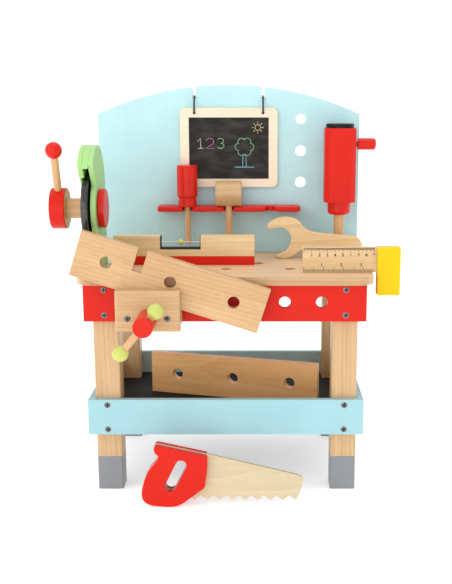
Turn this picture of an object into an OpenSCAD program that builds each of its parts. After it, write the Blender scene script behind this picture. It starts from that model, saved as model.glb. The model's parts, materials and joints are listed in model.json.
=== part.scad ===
// Toy workbench with vise, bench grinder, pegged tools, chalkboard and planks.
// Frame: X to the right, Y to the back, Z up. The origin lies on the floor,
// under the middle of the space that the whole set takes up.

/* [Bench] */
// Width over the outer faces of the legs
frame_w = 340; // [300:5:380]
// Distance from the front legs' front faces to the rear legs' front faces
leg_pitch = 210; // [190:5:240]
// Side of a square leg
leg_w = 33; // [28:1:36]
// Height of the legs, up to the underside of the tabletop
leg_h = 278; // [274:1:282]
// Thickness of the painted boards
board_t = 9; // [7:1:10]
// Height of the red boards under the tabletop
apron_h = 48; // [44:1:52]
// Thickness of the tabletop
top_t = 11; // [9:1:13]
// How far the tabletop reaches past the boards below it
top_lip = 9; // [6:1:11]

/* [Tray] */
// Height of the tray's lower edge above the floor
tray_z = 79; // [70:1:90]
// Height of the tray's walls
tray_h = 47; // [40:1:55]
// Height of the tray floor's upper face above the tray's lower edge
tray_floor_z = 14; // [10:1:18]
// Thickness of the tray floor
tray_floor_t = 6; // [4:1:8]

/* [Backboard] */
// Width of the backboard
back_w = 370; // [350:5:370]
// Height of the backboard's upper corners above the floor
back_corner_z = 485; // [470:1:500]
// Rise of the curved upper edge between the corners
back_rise = 40; // [20:1:60]
// Diameter of the peg holes in the boards and planks
peg_hole_d = 15; // [13:0.5:16]

/* [Tools] */
// Length of a plank
plank_l = 244; // [200:2:250]
// Width of a plank
plank_w = 58; // [50:1:60]
// Thickness of a plank
plank_t = 11.8; // [10:0.1:12]
// Tilt of the plank in the vise, in degrees
plank_tilt = 17.75; // [10:0.25:18]
// Length of the spirit level
level_l = 188; // [150:2:190]

/* [Grinder and vise] */
// Radius of the grinding wheel
wheel_r = 48; // [40:1:49]
// Width of the vise jaws
jaw_w = 80; // [70:1:84]
// Height of the vise jaws
jaw_h = 51; // [48:1:51]
// Thickness of the moving jaw
jaw_t = 18; // [14:1:20]

/* [Hidden] */
$fn = 64;

// Clearances
gap = 0.1;
run_gap = 0.08;
free_gap = 0.4;
over = 1;

// Bench planes. front_y is the front face of the front legs.
front_y = -75;
side_x = frame_w / 2;
rear_leg_y = front_y + leg_pitch;
rear_y = rear_leg_y + leg_w;
apron_y = front_y - board_t;
apron_half = side_x + board_t + 1;
apron_z = leg_h - apron_h;
tray_half = side_x + board_t;
tray_bed_z = tray_z + tray_floor_z;
top_z = leg_h + top_t;
top_half = side_x + board_t + top_lip + 1;
top_front_y = apron_y - top_lip;
back_y = rear_leg_y - 2 * board_t;
back_half = back_w / 2;
back_arc_r = (back_half * back_half + back_rise * back_rise) / (2 * back_rise);
back_arc_z = back_corner_z + back_rise - back_arc_r;
wood = "burlywood";
red = "#e33a26";
pale_blue = "#bfe0e4";

// Screws
screw_head_r = 4;
screw_head_t = 1.6;
screw_shank_r = 1.8;
screw_l = 24;
screw_xs = [-side_x + leg_w / 2, side_x - leg_w / 2];
apron_screw_zs = [238, 271];
tray_screw_zs = [86, 119];

// Vise
jaw_x = -94;
jaw_z0 = 226;
fixed_jaw_t = 12;
plank_back_y = apron_y - fixed_jaw_t - gap;
plank_mid_y = plank_back_y - plank_t / 2;
jaw_back_y = plank_back_y - plank_t - gap;
jaw_front_y = jaw_back_y - jaw_t;
screw_z = 243;
vise_screw_r = 6;
knob_r = 12.2;
knob_l = 50;
knob_front_y = jaw_front_y - knob_l - 1.5;
guide_r = 4;
guide_dx = 24.5;
guide_l = 76;
handle_angle = 50;
handle_r = 4.5;
handle_y = knob_front_y + 14;
handle_ball_r = 9.8;
ball_near = knob_r + handle_ball_r + 0.3;
ball_far = 45;

// Grinder. The housing's two cheeks stand on the tabletop, at its left end.
axle_y = front_y + 39;
axle_z = 369;
axle_r = 4.5;
cheek_left_x = -182;
pocket_x = -179.4;
hood_x = -176;
cheek_right_x = -168.3;
cheek_right_t = 5.8;
housing_r = 53;
hood_z = axle_z + 27.5;
hub_x = -223.3;
hub_t = 19.9;
hub_r = 26.3;
crank_lean = 19;
crank_l = 79.3;
crank_r = 4.9;
ball_r = 10.6;
cap_r = 25;

// Chalkboard
slate_w = 113;
slate_h = 86;
chalk_w = 138;
chalk_h = 111;
chalk_t = 5.4;
chalk_z = 383;
cord_x = 48.5;
cord_r = 1.25;
cord_slot_w = 4.6;
cord_slot_d = 17.6;

// Tool rack
rack_z = 350;
rack_t = 7.2;
rack_d = 30;
rack_l = 202;
notch_pitch = 58.5;
notch_w = 14;
tool_y = back_y - 23.5;

// Spirit level
level_x = -57;
level_y = front_y + 73;
level_t = 16;
level_base_h = 12;
level_body_h = 27;
level_notch_w = 54;
level_notch_d = 18;
level_notch_x = -62;
bead_r = 4;
wire_r = 0.6;

// Drill, wrench, square
drill_x = 155;
drill_y = front_y + 157;
drill_w = 42.8;
drill_z0 = 365.5;
drill_z1 = 467;
bit_r = 7;
trigger_z = 445;
wrench_y = front_y + 127;
wrench_t = 12;
square_y = front_y + 16;
ruler_t = 6;
stock_x = 194.5;
stock_w = 29.5;
stock_d = 20;

// Saw
saw_y = front_y - 52;
blade_t = 5;
saw_cheek_t = 7;

// ---------- shared shapes ----------

// Box from its limits on each axis
module slab(x0, x1, y0, y1, z0, z1) {
    translate([x0, y0, z0]) cube([x1 - x0, y1 - y0, z1 - z0]);
}

// Rod along X from x0 to x1
module rod_x(r, x0, x1, y, z) {
    translate([x0, y, z]) rotate([0, 90, 0]) cylinder(r = r, h = x1 - x0);
}

// Rod along Y from y0 to y1
module rod_y(r, x, y0, y1, z) {
    translate([x, y1, z]) rotate([90, 0, 0]) cylinder(r = r, h = y1 - y0);
}

// Profile in X and Z, extruded along Y from y0 to y1
module profile_y(y0, y1) {
    translate([0, y1, 0]) rotate([90, 0, 0]) linear_extrude(y1 - y0) children();
}

// Profile in Y and Z, extruded along X from x0 to x1
module profile_x(x0, x1) {
    translate([x0, 0, 0]) rotate([90, 0, 90]) linear_extrude(x1 - x0) children();
}

// Rectangle with rounded corners, as a union so that its arcs stay true
module rounded_square(w, h, r) {
    translate([r, 0]) square([w - 2 * r, h]);
    translate([0, r]) square([w, h - 2 * r]);
    for (x = [r, w - r], y = [r, h - r])
        translate([x, y]) circle(r);
}

// Screw with a pan head, its head's outer face at y = 0 and its shank along +Y
module wood_screw(l) {
    rod_y(screw_head_r, 0, 0, screw_head_t, 0);
    rod_y(screw_shank_r, 0, screw_head_t, l, 0);
}

// Room that a screw takes up
module screw_hole(l) {
    rod_y(screw_head_r + gap, 0, -over, screw_head_t, 0);
    rod_y(screw_shank_r + 0.05, 0, 0, l + 0.5, 0);
}

// Puts its children at each screw of a front board
module at_screws(zs, y) {
    for (x = screw_xs, z = zs)
        translate([x, y, z]) children();
}

// Puts its children at each screw of a rear board, pointing forwards
module at_rear_screws(zs, y) {
    for (x = screw_xs, z = zs)
        translate([x, y, z]) rotate([0, 0, 180]) children();
}

// All the screw holes of the bench
module bench_screw_holes() {
    at_screws(apron_screw_zs, apron_y - 0.6) screw_hole(screw_l);
    at_screws(tray_screw_zs, apron_y - 0.6) screw_hole(screw_l);
    at_rear_screws(tray_screw_zs, rear_y + board_t + 0.6) screw_hole(screw_l);
}

// ---------- bench ----------

module leg(x, y) {
    color(wood) difference() {
        translate([x, y, 0]) linear_extrude(leg_h) rounded_square(leg_w, leg_w, 2);
        bench_screw_holes();
    }
}

module leg_front_left() leg(-side_x, front_y);
module leg_front_right() leg(side_x - leg_w, front_y);
module leg_rear_left() leg(-side_x, rear_leg_y);
module leg_rear_right() leg(side_x - leg_w, rear_leg_y);

apron_peg_xs = [76, 123];
apron_peg_z = 254.8;

module front_apron() {
    color(red) difference() {
        slab(-apron_half, apron_half, apron_y, front_y, apron_z, leg_h);
        for (x = apron_peg_xs)
            rod_y(peg_hole_d / 2, x, apron_y - over, front_y + over, apron_peg_z);
        for (s = [-1, 1])
            rod_y(guide_r + run_gap, jaw_x + s * guide_dx, apron_y - over, front_y + over, screw_z);
        rod_y(vise_screw_r + free_gap, jaw_x, apron_y - over, front_y + over, screw_z);
        bench_screw_holes();
    }
}

module rear_rail() {
    color(red) slab(-side_x, side_x, rear_leg_y - board_t, rear_leg_y, apron_z, leg_h);
}

module side_apron(x) {
    color(red) slab(x, x + board_t, front_y, rear_y, apron_z, leg_h);
}

module side_apron_left() side_apron(-side_x - board_t);
module side_apron_right() side_apron(side_x);

// Peg holes of the tabletop, in two staggered rows
peg_pitch = 84;
peg_row_1_y = front_y + 44;
peg_row_2_y = front_y + 89;
peg_row_1_xs = [-peg_pitch, 0, peg_pitch];
peg_row_2_xs = [-1.5 * peg_pitch, -peg_pitch / 2, peg_pitch / 2, 1.5 * peg_pitch];
top_corner_r = 22;

module tabletop() {
    color(wood) difference() {
        translate([-top_half, top_front_y, leg_h]) linear_extrude(top_t) {
            rounded_square(2 * top_half, 60, top_corner_r);
            translate([0, top_corner_r])
                square([2 * top_half, back_y - top_front_y - top_corner_r - gap]);
        }
        for (x = peg_row_1_xs)
            translate([x, peg_row_1_y, leg_h - over]) cylinder(d = peg_hole_d, h = top_t + 2 * over);
        for (x = peg_row_2_xs)
            translate([x, peg_row_2_y, leg_h - over]) cylinder(d = peg_hole_d, h = top_t + 2 * over);
        translate([drill_x, drill_y, leg_h - over])
            cylinder(r = bit_r + free_gap, h = top_t + 2 * over);
    }
}

back_peg_x = 102;
back_peg_pitch = 44.5;
back_peg_z = 433.9;

module backboard() {
    color(pale_blue) difference() {
        profile_y(back_y, back_y + board_t) {
            translate([-side_x + gap, apron_z + 2]) square([frame_w - 2 * gap, top_z - apron_z]);
            intersection() {
                translate([-back_half, top_z + gap]) square([back_w, 300]);
                translate([0, back_arc_z]) circle(back_arc_r, $fn = 360);
            }
        }
        for (i = [-1, 0, 1])
            rod_y(peg_hole_d / 2, back_peg_x, back_y - over, back_y + board_t + over,
                  back_peg_z + i * back_peg_pitch);
        for (s = [-1, 1])
            slab(s * cord_x - cord_slot_w / 2, s * cord_x + cord_slot_w / 2, back_y - over,
                 back_y + board_t + over, back_corner_z + back_rise - cord_slot_d, 600);
    }
}

module tool_rack() {
    color(red) difference() {
        translate([0, 0, rack_z]) linear_extrude(rack_t)
            translate([-rack_l / 2, back_y - rack_d]) {
                translate([4, 0]) square([rack_l - 8, rack_d]);
                translate([0, 4]) square([rack_l, rack_d - 4]);
                for (x = [4, rack_l - 4]) translate([x, 4]) circle(4);
            }
        for (i = [-1, 0, 1])
            translate([i * notch_pitch, 0, 0]) {
                translate([0, tool_y, rack_z - over]) cylinder(d = notch_w, h = rack_t + 2 * over);
                slab(-notch_w / 2, notch_w / 2, back_y - rack_d - over, tool_y, rack_z - over,
                     rack_z + rack_t + over);
            }
    }
}

// ---------- tray ----------

module tray_front() {
    color(pale_blue) difference() {
        slab(-tray_half, tray_half, apron_y, front_y, tray_z, tray_z + tray_h);
        bench_screw_holes();
    }
}

module tray_rear() {
    color(pale_blue) difference() {
        slab(-tray_half, tray_half, rear_y, rear_y + board_t, tray_z, tray_z + tray_h);
        bench_screw_holes();
    }
}

module tray_side(x) {
    color(pale_blue) slab(x, x + board_t, front_y, rear_y, tray_z, tray_z + tray_h);
}

module tray_left() tray_side(-tray_half);
module tray_right() tray_side(side_x);

module tray_floor() {
    color("#2c3133") difference() {
        slab(-side_x, side_x, front_y, rear_y, tray_bed_z - tray_floor_t, tray_bed_z);
        for (x = [-side_x - over, side_x - leg_w - gap], y = [front_y - over, rear_leg_y - gap])
            slab(x, x + leg_w + over + gap, y, y + leg_w + over + gap, 0, 200);
    }
}

// ---------- screws of the bench ----------

module apron_screws() {
    color("silver") at_screws(apron_screw_zs, apron_y - 0.6) wood_screw(screw_l);
}

module tray_screws() {
    color("silver") {
        at_screws(tray_screw_zs, apron_y - 0.6) wood_screw(screw_l);
        at_rear_screws(tray_screw_zs, rear_y + board_t + 0.6) wood_screw(screw_l);
    }
}

// ---------- vise ----------

module fixed_jaw() {
    color(wood) difference() {
        slab(jaw_x - jaw_w / 2, jaw_x + jaw_w / 2, apron_y - fixed_jaw_t, apron_y, jaw_z0 + 5,
             jaw_z0 + jaw_h);
        for (s = [-1, 1])
            rod_y(guide_r + run_gap, jaw_x + s * guide_dx, apron_y - 20, apron_y + over, screw_z);
        rod_y(vise_screw_r + free_gap, jaw_x, apron_y - 20, apron_y + over, screw_z);
    }
}

jaw_bevel = 4;

module moving_jaw() {
    color(wood) difference() {
        slab(jaw_x - jaw_w / 2, jaw_x + jaw_w / 2, jaw_front_y, jaw_back_y, jaw_z0, jaw_z0 + jaw_h);
        for (x = [jaw_x - jaw_w / 2, jaw_x + jaw_w / 2])
            translate([x, jaw_front_y, 0]) rotate([0, 0, 45])
                cube([jaw_bevel, jaw_bevel, 1000], center = true);
        for (z = [jaw_z0, jaw_z0 + jaw_h])
            translate([0, jaw_front_y, z]) rotate([45, 0, 0])
                cube([1000, jaw_bevel, jaw_bevel], center = true);
        for (s = [-1, 1]) {
            rod_y(guide_r + 0.02, jaw_x + s * guide_dx, jaw_front_y + 8, jaw_back_y + over, screw_z);
            translate([jaw_x + s * guide_dx, jaw_front_y - 0.3, screw_z]) {
                rod_y(screw_head_r + gap, 0, -over, screw_head_t, 0);
                rod_y(screw_shank_r + 0.05, 0, 0, 20, 0);
            }
        }
        rod_y(vise_screw_r + run_gap, jaw_x, jaw_front_y - over, jaw_back_y + over, screw_z);
    }
}

module guide_rods() {
    color("tan") for (s = [-1, 1])
        difference() {
            rod_y(guide_r, jaw_x + s * guide_dx, jaw_front_y + 8, jaw_front_y + 8 + guide_l, screw_z);
            rod_y(screw_shank_r + 0.05, jaw_x + s * guide_dx, jaw_front_y, jaw_front_y + 21, screw_z);
        }
}

module jaw_screws() {
    color("silver") for (s = [-1, 1])
        translate([jaw_x + s * guide_dx, jaw_front_y - 0.3, screw_z]) wood_screw(20);
}

// Puts its children at the handle's place, their X axis along the handle
module along_handle() {
    translate([jaw_x, handle_y, screw_z]) rotate([0, -handle_angle, 0]) children();
}

module vise_knob() {
    color(red) difference() {
        translate([jaw_x, knob_front_y + knob_l, screw_z]) rotate([90, 0, 0])
            rotate_extrude() {
                square([knob_r - 1, knob_l]);
                translate([0, 1]) square([knob_r, knob_l - 2]);
                for (y = [1, knob_l - 1]) translate([knob_r - 1, y]) circle(1, $fn = 24);
            }
        along_handle() rod_x(handle_r + gap, -30, 30, 0, 0);
        rod_y(vise_screw_r, jaw_x, knob_front_y + 30, knob_front_y + knob_l + over, screw_z);
    }
}

module vise_screw() {
    color("tan") rod_y(vise_screw_r, jaw_x, knob_front_y + 30, front_y + 26, screw_z);
}

module vise_handle() {
    color("tan") along_handle()
        rod_x(handle_r, -ball_far + 2, ball_near - 2, 0, 0);
}

module handle_balls() {
    color("yellowgreen") along_handle() difference() {
        for (x = [-ball_far, ball_near]) translate([x, 0, 0]) sphere(handle_ball_r);
        rod_x(handle_r, -ball_far + 2, ball_near - 2, 0, 0);
    }
}

// ---------- grinder ----------

hood_lip_z = 427.5;
arch_r = 37.5;

// Side view of the housing before the wheel is bared: Y runs right, Z up
module housing_outline() {
    translate([axle_y, axle_z]) circle(housing_r);
    translate([axle_y, hood_z]) circle(housing_r);
    translate([axle_y - housing_r, axle_z]) square([2 * housing_r, hood_z - axle_z]);
    translate([axle_y - 35, top_z]) square([35 + housing_r, axle_z - top_z]);
}

// The front edge under the hood's lip, down to where the two cheeks part
lip_edge = [[-60, hood_lip_z], [-43.3, hood_lip_z], [-40.5, 422.5], [-34.5, 416]];

// Outline of the left cheek, cut back so that the wheel stands proud of it
module left_outline() {
    difference() {
        housing_outline();
        translate([axle_y, 0]) polygon(concat(lip_edge, [
            [-26, 407.5], [-18, 400], [-16, 394], [-16, 341], [-34, 317], [-60, 317]
        ]));
        translate([axle_y, axle_z]) circle(axle_r + run_gap);
    }
}

// Outline of the right cheek, with an arch round the axle
module right_outline() {
    difference() {
        housing_outline();
        translate([axle_y, 0]) polygon(concat(
            lip_edge, [[-25, 406]],
            [for (a = [125:6:215]) [arch_r * cos(a), axle_z + arch_r * sin(a)]],
            [[-30.7, top_z - over], [-60, top_z - over]]
        ));
        translate([axle_y, axle_z]) circle(axle_r + run_gap);
    }
}

module grinder_cheek_left() {
    color("yellowgreen") {
        profile_x(cheek_left_x, pocket_x) left_outline();
        profile_x(pocket_x, hood_x) difference() {
            left_outline();
            translate([axle_y, axle_z]) circle(wheel_r + 1.5);
        }
    }
}

module grinder_cheek_right() {
    color("yellowgreen") profile_x(cheek_right_x, cheek_right_x + cheek_right_t) right_outline();
}

module grinder_hood() {
    color("yellowgreen") profile_x(hood_x, cheek_right_x) difference() {
        housing_outline();
        translate([axle_y, axle_z]) circle(wheel_r + 1.5);
        translate([axle_y - 60, axle_z - 46]) square([60, 422.5 - axle_z + 46]);
    }
}

wheel_x0 = pocket_x + 0.4;
wheel_x1 = wheel_x0 + 8.4;
hub_right_x = hub_x + hub_t;
cap_x0 = cheek_right_x + cheek_right_t + 0.5;
cap_x1 = cap_x0 + 8.3;

module grinder_wheel() {
    color("#1c1c1e") translate([wheel_x0, axle_y, axle_z]) rotate([0, 90, 0])
        rotate_extrude($fn = 96) {
            translate([axle_r, 0]) square([wheel_r - axle_r - 2.5, wheel_x1 - wheel_x0]);
            translate([axle_r, 2.5]) square([wheel_r - axle_r, wheel_x1 - wheel_x0 - 5]);
            for (x = [2.5, wheel_x1 - wheel_x0 - 2.5])
                translate([wheel_r - 2.5, x]) circle(2.5, $fn = 32);
        }
}

module grinder_axle() {
    color("tan") rod_x(axle_r, hub_x + 3, cap_x1 - 2, axle_y, axle_z);
}

// Puts its children at the axle, their Z axis along the crank
module along_crank() {
    translate([hub_x + hub_t / 2, axle_y, axle_z]) rotate([crank_lean, 0, 0]) children();
}

module crank_hub() {
    color(red) difference() {
        translate([hub_x, axle_y, axle_z]) rotate([0, 90, 0]) rotate_extrude() {
            square([hub_r - 1.5, hub_t]);
            translate([0, 1.5]) square([hub_r, hub_t - 3]);
            for (y = [1.5, hub_t - 1.5]) translate([hub_r - 1.5, y]) circle(1.5, $fn = 24);
        }
        rod_x(axle_r, hub_x + 3, hub_right_x + over, axle_y, axle_z);
        along_crank() translate([0, 0, 8]) cylinder(r = crank_r, h = 30);
    }
}

module axle_spacer() {
    color("tan") difference() {
        rod_x(13, hub_right_x, cheek_left_x - 0.5, axle_y, axle_z);
        rod_x(axle_r, hub_right_x - over, cheek_left_x + over, axle_y, axle_z);
    }
}

module hub_cap() {
    color(red) difference() {
        rod_x(cap_r, cap_x0, cap_x1, axle_y, axle_z);
        rod_x(axle_r, cap_x0 - over, cap_x1 - 2, axle_y, axle_z);
    }
}

module crank_dowel() {
    color("tan") along_crank() translate([0, 0, 8]) cylinder(r = crank_r, h = crank_l - 10);
}

module crank_ball() {
    color(red) along_crank() difference() {
        translate([0, 0, crank_l]) sphere(ball_r);
        translate([0, 0, 8]) cylinder(r = crank_r, h = crank_l - 10);
    }
}

// ---------- chalkboard ----------

chalk_y = back_y - gap - chalk_t;
cord_hole_z = chalk_z + chalk_h - 7.3;
cord_hole_r = 2;

module chalkboard_frame() {
    color("wheat") difference() {
        profile_y(chalk_y, chalk_y + chalk_t) difference() {
            translate([-chalk_w / 2, chalk_z]) rounded_square(chalk_w, chalk_h, 8);
            translate([-slate_w / 2, chalk_z + (chalk_h - slate_h) / 2 - 1])
                square([slate_w, slate_h]);
        }
        for (s = [-1, 1])
            rod_y(cord_hole_r, s * cord_x, chalk_y - over, chalk_y + chalk_t + over, cord_hole_z);
    }
}

module chalkboard_slate() {
    color("#3c3a38")
        slab(-slate_w / 2 + 0.05, slate_w / 2 - 0.05, chalk_y + 1.2, chalk_y + chalk_t - 0.5,
             chalk_z + (chalk_h - slate_h) / 2 - 0.95, chalk_z + (chalk_h + slate_h) / 2 - 1.05);
}

// The cord's route: out of one hole of the frame, up through that side's slot,
// across behind the backboard with a little sag, and back to the other hole.
cord_front_y = chalk_y - cord_r - 0.4;
cord_back_y = back_y + board_t + cord_r + 0.7;
cord_slot_z = back_corner_z + back_rise - cord_slot_d + cord_r + 0.6;
cord_half = [
    [cord_x, chalk_y + 4.5, cord_hole_z], [cord_x, chalk_y + 1, cord_hole_z],
    [cord_x, chalk_y - 1.2, cord_hole_z + 0.8], [cord_x, cord_front_y, cord_hole_z + 3],
    [cord_x, cord_front_y + 0.3, cord_hole_z + 7], [cord_x, cord_front_y + 1.5, cord_hole_z + 11.5],
    [cord_x, cord_front_y + 3, cord_hole_z + 16], [cord_x, back_y - 2.6, cord_slot_z - 3.4],
    [cord_x, back_y - 1.6, cord_slot_z - 0.3],
    [cord_x, back_y + 1.2, cord_slot_z + 0.6], [cord_x, back_y + 5, cord_slot_z + 0.7],
    [cord_x, back_y + board_t, cord_slot_z + 0.1], [cord_x - 0.6, cord_back_y, cord_slot_z - 1.5],
    [cord_x - 4, cord_back_y, cord_slot_z - 4], [cord_x - 11, cord_back_y, cord_slot_z - 6.5],
    [cord_x - 22, cord_back_y, cord_slot_z - 9.5], [cord_x - 34, cord_back_y, cord_slot_z - 12]
];
cord_route = concat(
    [for (p = cord_half) [-p[0], p[1], p[2]]],
    [[0, cord_back_y, cord_slot_z - 13.5]],
    [for (i = [len(cord_half) - 1:-1:0]) cord_half[i]]
);

function unit(v) = v / norm(v);
function heading(path, i) =
    unit(path[min(i + 1, len(path) - 1)] - path[max(i - 1, 0)]);
// A direction across the route, carried from ring to ring without twist
function across(path, i) =
    i == 0 ? unit(cross(heading(path, 0), [0, 0, 1]))
           : let (t = heading(path, i), n = across(path, i - 1)) unit(n - t * (n * t));

module cord_tube(path, r, sides) {
    rings = [for (i = [0:len(path) - 1])
        let (n = across(path, i), b = cross(heading(path, i), n))
        for (k = [0:sides - 1])
            path[i] + r * (n * cos(360 * k / sides) + b * sin(360 * k / sides))];
    last = len(path) - 1;
    walls = [for (i = [0:last - 1], k = [0:sides - 1])
        let (a = i * sides + k, b = i * sides + (k + 1) % sides)
        [a, a + sides, b + sides, b]];
    ends = [[for (k = [0:sides - 1]) k], [for (k = [sides - 1:-1:0]) last * sides + k]];
    polyhedron(points = rings, faces = concat(walls, ends), convexity = 6);
}

module hanging_cord() {
    color("#222222") cord_tube(cord_route, cord_r, 8);
}

// ---------- hand tools on the rack ----------

rack_top_z = rack_z + rack_t;
screwdriver_x = -notch_pitch;
shaft_r = 4.2;

module screwdriver_handle() {
    color(red) difference() {
        translate([screwdriver_x, tool_y, rack_top_z + gap]) rotate_extrude() {
            square([11.9, 9]);
            translate([0, 1]) square([12.9, 7]);
            for (z = [1, 8]) translate([11.9, z]) circle(1, $fn = 24);
            square([11.6, 16]);
            translate([0, 12]) square([10.5, 46]);
            translate([0, 16]) square([14.5, 40]);
            translate([10.5, 16]) circle(4, $fn = 48);
            translate([12.5, 56]) circle(2, $fn = 32);
            square([12.5, 58]);
        }
        translate([screwdriver_x, tool_y, rack_top_z - over]) cylinder(r = shaft_r, h = 31);
    }
}

module screwdriver_shaft() {
    color("tan") difference() {
        translate([screwdriver_x, tool_y, top_z + 3])
            cylinder(r = shaft_r, h = rack_top_z + 27 - top_z);
        for (s = [-1, 1])
            translate([screwdriver_x, tool_y + s * 6.2, top_z]) rotate([s * 12, 0, 0])
                cube([20, 8, 30], center = true);
    }
}

hammer_r = 17.7;
hammer_l = 37;
hammer_z = rack_top_z + hammer_r + 0.3;
hammer_handle_r = 4.9;

module hammer_head() {
    color(wood) difference() {
        translate([-hammer_l / 2, tool_y, hammer_z]) rotate([0, 90, 0]) rotate_extrude() {
            square([hammer_r - 1.5, hammer_l]);
            translate([0, 1.5]) square([hammer_r, hammer_l - 3]);
            for (y = [1.5, hammer_l - 1.5]) translate([hammer_r - 1.5, y]) circle(1.5, $fn = 24);
        }
        translate([0, tool_y, hammer_z - 30]) cylinder(r = hammer_handle_r, h = 36);
    }
}

module hammer_handle() {
    color("tan") translate([0, tool_y, top_z + 6])
        cylinder(r = hammer_handle_r, h = hammer_z + 6 - top_z - 6);
}

// ---------- drill ----------

drill_chamfer = 6;

module drill_body() {
    color(red) difference() {
        translate([drill_x, drill_y, drill_z0]) linear_extrude(drill_z1 - drill_z0)
            polygon([for (q = [0:3], s = [-1, 1])
                let (a = q * 90, h = drill_w / 2, c = s * (drill_w / 2 - drill_chamfer))
                [h * cos(a) - c * sin(a), h * sin(a) + c * cos(a)]]);
        translate([drill_x, drill_y, drill_z0 - over]) cylinder(r = bit_r, h = 21);
        rod_x(4, drill_x + drill_w / 2 - 13, drill_x + drill_w, drill_y, trigger_z);
    }
}

module drill_cap() {
    color("#1c1c1e") translate([drill_x, drill_y, drill_z1]) rotate_extrude() {
        square([19.5, 4]);
        square([17.5, 6]);
        translate([17.5, 4]) circle(2, $fn = 32);
    }
}

module drill_nose() {
    color(red) difference() {
        translate([drill_x, drill_y, drill_z0]) mirror([0, 0, 1]) rotate_extrude() {
            square([16, 13]);
            square([11, 18]);
            translate([11, 13]) circle(5, $fn = 48);
        }
        translate([drill_x, drill_y, drill_z0 - 30]) cylinder(r = bit_r, h = 40);
    }
}

module drill_bit() {
    color("tan") translate([drill_x, drill_y, leg_h + 1]) cylinder(r = bit_r, h = drill_z0 + 20 - leg_h - 1);
}

// The trigger's head stands clear of the body by its travel
trigger_travel = 3;

module drill_trigger() {
    color(red) {
        rod_x(3.9, drill_x + drill_w / 2 - 9, drill_x + drill_w / 2 + 6, drill_y, trigger_z);
        translate([drill_x + drill_w / 2 + trigger_travel + 0.2, drill_y, trigger_z])
            rotate([0, 90, 0]) rotate_extrude() {
                square([8, 21.2]);
                square([4, 25.2]);
                translate([4, 21.2]) circle(4, $fn = 32);
            }
    }
}

// ---------- wrench and try square ----------

wrench_x = 85;
wrench_z = top_z + 29.6;

// Smooth line through points, with that many steps from each to the next
function curve(points, steps) =
    let (last = len(points) - 1)
    concat([for (i = [0:last - 1], k = [0:steps - 1])
        let (a = points[max(i - 1, 0)], b = points[i],
             c = points[i + 1], d = points[min(i + 2, last)], t = k / steps)
        0.5 * (2 * b + (c - a) * t + (2 * a - 5 * b + 4 * c - d) * t * t
               + (3 * b - a - 3 * c + d) * t * t * t)], [points[last]]);

// Side view of the wrench, counterclockwise from the middle of its handle's lower edge
wrench_points = [
    [60, -18], [84, -20], [95, -20.4], [100, -17], [101, -9], [98.5, -4], [95, -0.6],
    [88.2, 1.8], [62.9, 3.8], [35.3, 7], [25, 10.4], [18.8, 15.4], [14.6, 21.2],
    [7.7, 25.8], [-3.8, 28], [-15.3, 26.7], [-25.6, 21.7], [-30.4, 17], [-30, 12.8], [-26.8, 11.5],
    [-19.5, 13], [-11, 13.6], [-4, 10.9], [1, 4.5], [2.3, -4], [0, -12], [-4.8, -18.3], [-12, -22.2],
    [-19.6, -25.4], [-13, -28.6], [-4.9, -29.4], [2, -27.4], [8.9, -23], [16.9, -17.6], [24, -15.6],
    [36, -16]
];

module wrench() {
    color("wheat") profile_y(wrench_y, wrench_y + wrench_t)
        translate([wrench_x, wrench_z]) polygon(curve(wrench_points, 4));
}

ruler_h = 33;
ruler_x = 99;

module square_ruler() {
    color("wheat")
        slab(ruler_x, stock_x + 12, square_y, square_y + ruler_t, top_z + gap, top_z + gap + ruler_h);
}

module square_stock() {
    color("gold") difference() {
        translate([0, square_y + ruler_t / 2, 0])
            slab(stock_x, stock_x + stock_w, -stock_d / 2, stock_d / 2, top_z - 29, top_z + gap + ruler_h);
        slab(ruler_x, stock_x + 12.05, square_y - 0.02, square_y + ruler_t + 0.02, top_z + gap, top_z + 60);
    }
}

// ---------- spirit level ----------

level_split_z = top_z + gap + level_base_h;
level_top_z = level_split_z + level_body_h;
wire_z = level_top_z - 9;

module level_base() {
    color(red)
        slab(level_x - level_l / 2, level_x + level_l / 2, level_y, level_y + level_t, top_z + gap,
             level_split_z);
}

module level_body() {
    color("wheat") difference() {
        slab(level_x - level_l / 2, level_x + level_l / 2, level_y, level_y + level_t, level_split_z,
             level_top_z);
        slab(level_notch_x - level_notch_w / 2, level_notch_x + level_notch_w / 2, level_y - over,
             level_y + level_t + over, level_top_z - level_notch_d, level_top_z + over);
        rod_x(wire_r, level_notch_x - level_notch_w / 2 - 6, level_notch_x + level_notch_w / 2 + 6,
              level_y + level_t / 2, wire_z);
    }
}

module level_wire() {
    color("silver")
        rod_x(wire_r, level_notch_x - level_notch_w / 2 - 6, level_notch_x + level_notch_w / 2 + 6,
              level_y + level_t / 2, wire_z);
}

module level_bead() {
    color("yellowgreen") difference() {
        translate([level_notch_x, level_y + level_t / 2, wire_z]) sphere(bead_r, $fn = 48);
        rod_x(wire_r + run_gap, level_notch_x - 10, level_notch_x + 10, level_y + level_t / 2, wire_z);
    }
}

// ---------- saw ----------

// Side view of the saw's grip: X runs right, Z up
saw_grip_back = [
    [-86, 82.1], [-88.4, 80.2], [-89, 76.5], [-87, 71.2], [-83.4, 67.6], [-87, 60], [-95.4, 48.9],
    [-101.5, 36.5], [-105.1, 22.8], [-105.4, 14.1], [-102.3, 7.2], [-95, 2.8], [-83.3, 0.9],
    [-70, 0.2], [-60.3, 1.6], [-51.8, 6], [-43.4, 12.4]
];

module saw_grip_outline() {
    polygon(concat(
        curve(saw_grip_back, 4),
        [[-26.4, 25.3], [-25.2, 28], [-22.2, 52.5], [-22, 66], [-24, 68.2]]
    ));
}

module saw_slot_outline() {
    for (p = [[-55, 55.5], [-69, 27.5]])
        translate(p) circle(7, $fn = 48);
    translate([-62, 41.5]) rotate(63.43) square([31.3, 14], center = true);
}

tooth_pitch = 16.04;

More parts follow.
